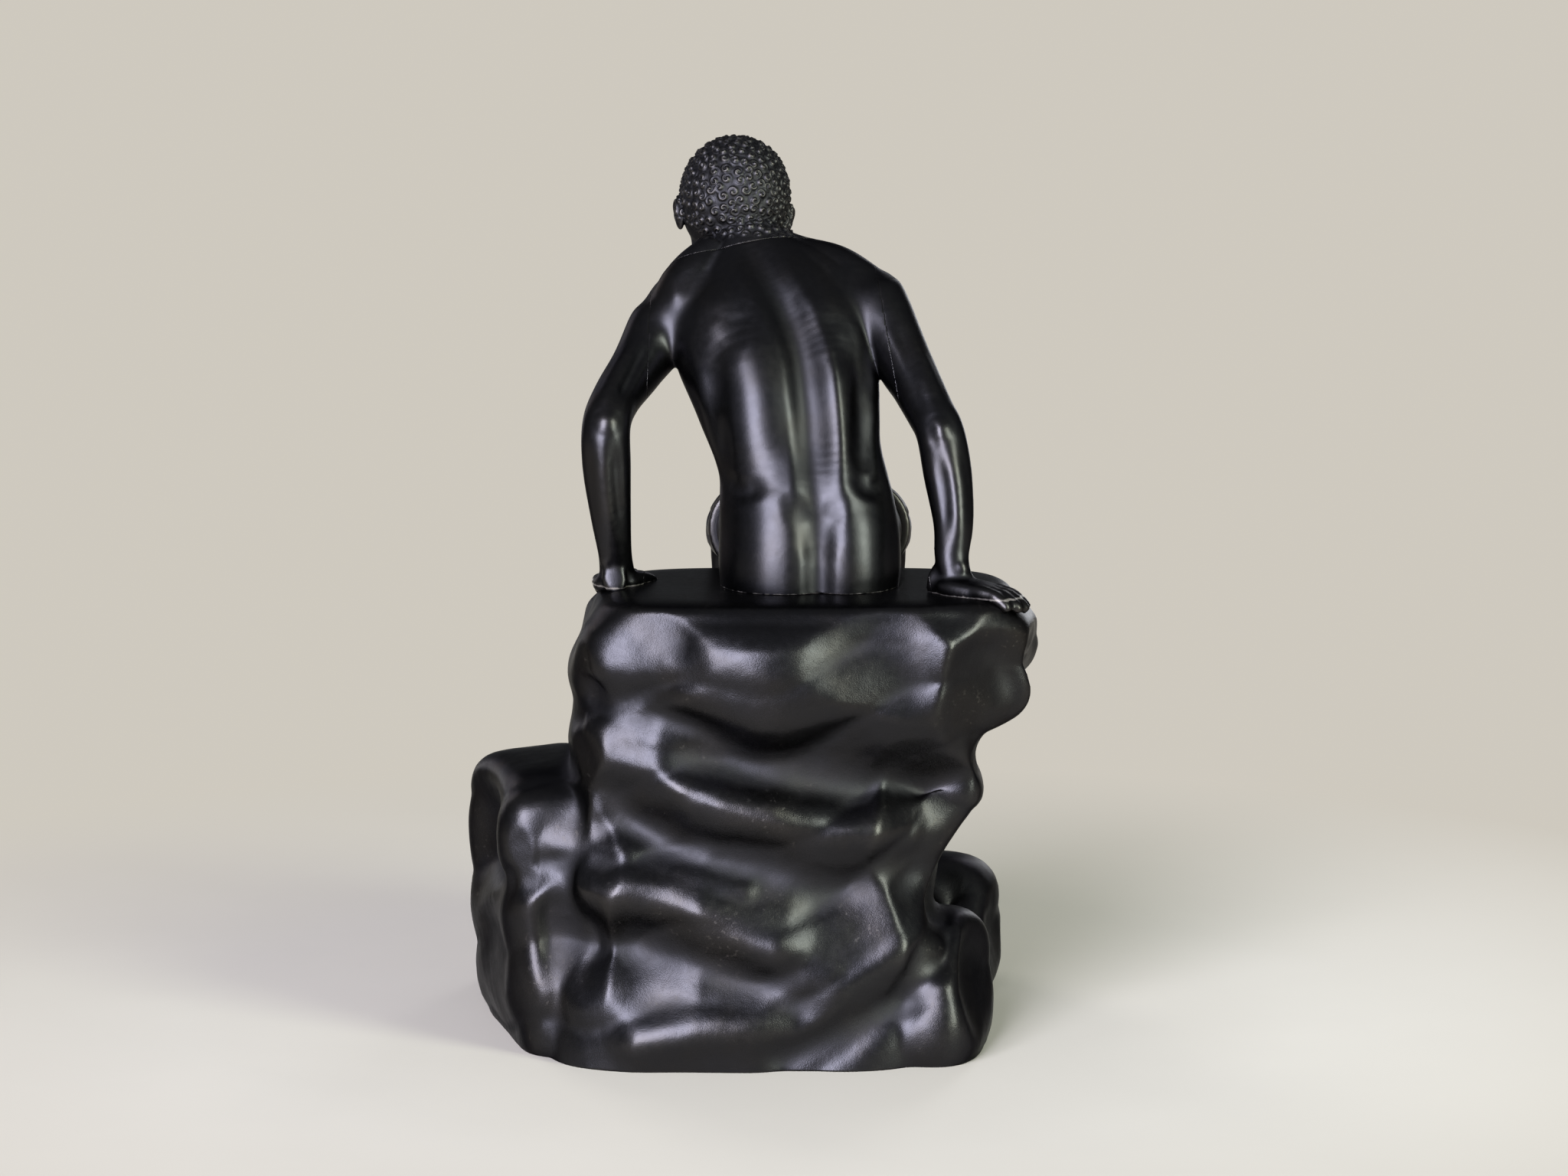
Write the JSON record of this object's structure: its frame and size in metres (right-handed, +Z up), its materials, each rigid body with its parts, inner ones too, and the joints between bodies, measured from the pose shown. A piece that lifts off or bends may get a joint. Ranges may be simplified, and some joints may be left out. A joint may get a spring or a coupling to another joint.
{
  "type": "bronze mercury statue",
  "caption": "Bronze youth with small ankle wings, seated on a tall rock with both hands braced on it, bolted down from inside the hollow rock.",
  "frame": {"origin": "on the ground under the middle of the statue's bounding box", "axes": "+Z up, the youth faces -Y and shows its back to +Y, +X is the youth's left"},
  "size_m": [0.3228, 0.2976, 0.4996],
  "materials": {
    "rock_patina": "cast bronze with a near-black satin patina, edges rubbed a little brighter",
    "skin_patina": "smooth chased bronze with a near-black waxed patina, satin gloss",
    "head_patina": "chased bronze with a near-black patina, matte in the curls",
    "cloth_patina": "cast bronze cloth with a near-black satin patina",
    "wing_patina": "cast bronze with a near-black satin patina",
    "plain_bronze": "turned bronze, unpatinated",
    "brass_fixing": "turned brass, dulled"
  },
  "bodies": {
    "root": {"rock_base": "rock_patina", "foot_step": "rock_patina", "torso": "skin_patina", "head": "head_patina", "left_arm": "skin_patina", "right_arm": "skin_patina", "left_leg": "skin_patina", "right_leg": "skin_patina", "lap_cloth": "cloth_patina", "ankle_wing_left": "wing_patina", "ankle_wing_right": "wing_patina", "neck_dowel": "plain_bronze", "shoulder_dowel_left": "plain_bronze", "shoulder_dowel_right": "plain_bronze", "hip_dowel_left": "plain_bronze", "hip_dowel_right": "plain_bronze", "cloth_pin_left": "plain_bronze", "cloth_pin_right": "plain_bronze", "seat_stud_left": "brass_fixing", "seat_stud_right": "brass_fixing", "seat_washer_left": "brass_fixing", "seat_washer_right": "brass_fixing", "seat_nut_left": "brass_fixing", "seat_nut_right": "brass_fixing", "hand_screw_left": "brass_fixing", "hand_screw_right": "brass_fixing", "foot_screw_left": "brass_fixing", "foot_screw_right": "brass_fixing", "step_screw_left": "brass_fixing", "step_screw_right": "brass_fixing"}
  },
  "joints": []
}
